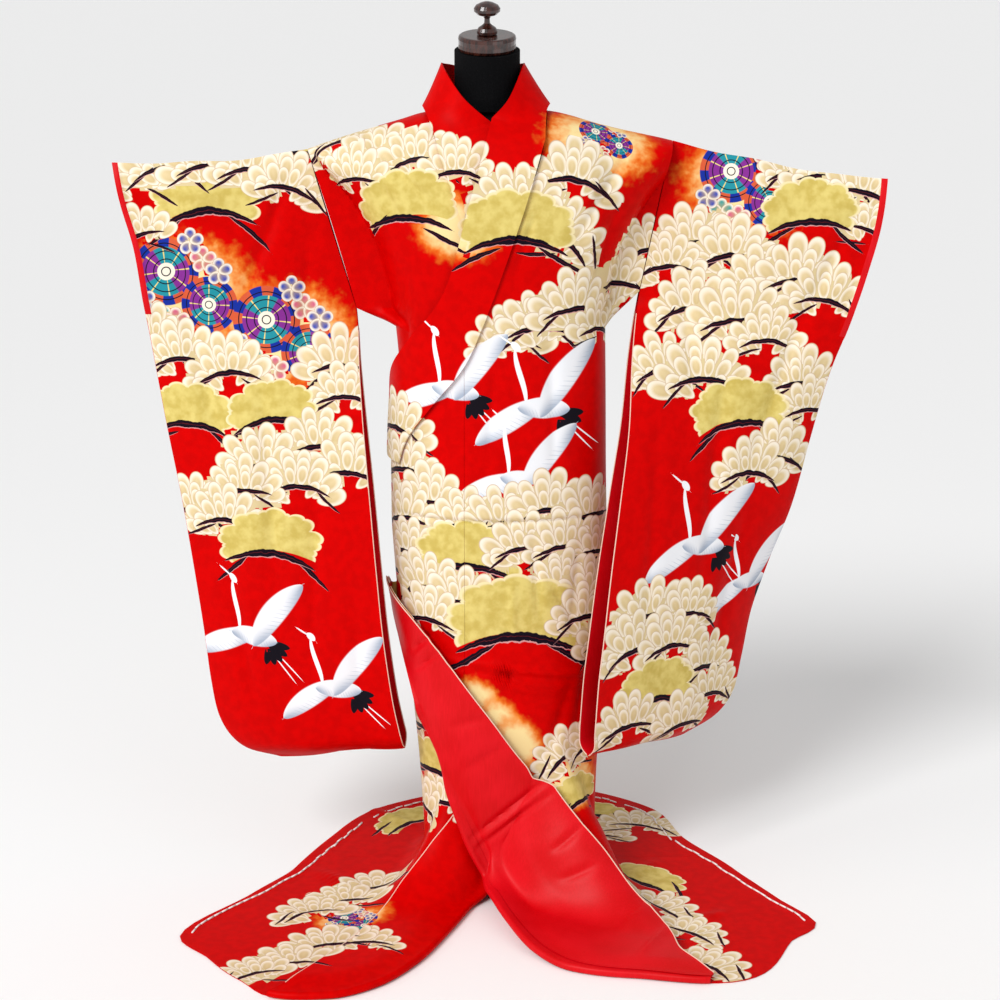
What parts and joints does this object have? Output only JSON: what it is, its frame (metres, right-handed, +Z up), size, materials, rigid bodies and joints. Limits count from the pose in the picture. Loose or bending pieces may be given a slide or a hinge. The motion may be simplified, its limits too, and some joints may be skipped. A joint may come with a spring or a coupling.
{
  "type": "uchikake wedding kimono on a dress form",
  "caption": "Red long-sleeved wedding kimono with painted pines and haloed wheels, worn by a limbless dress form, its fronts turned back over a spread hem.",
  "frame": {"origin": "floor point under the middle of the dress form's base", "axes": "+Z up, the wearer faces -Y, +X is the wearer's left"},
  "size_m": [1.353, 0.8982, 1.588],
  "materials": {
    "painted_silk": "satin",
    "lining_silk": "satin",
    "form_velvet": "matte",
    "cap_wood": "gloss",
    "stand_metal": "satin"
  },
  "bodies": {
    "root": {"body_left": "painted_silk", "body_right": "painted_silk", "overlap_left": "painted_silk", "overlap_right": "painted_silk", "lining_front_left": "lining_silk", "lining_front_right": "lining_silk", "collar": "painted_silk", "sleeve_right_front": "painted_silk", "sleeve_right_back": "painted_silk", "sleeve_left_front": "painted_silk", "sleeve_left_back": "painted_silk", "form_body": "form_velvet", "form_cap": "cap_wood", "form_finial": "cap_wood", "stand_pole": "stand_metal", "stand_base": "stand_metal"}
  },
  "joints": []
}
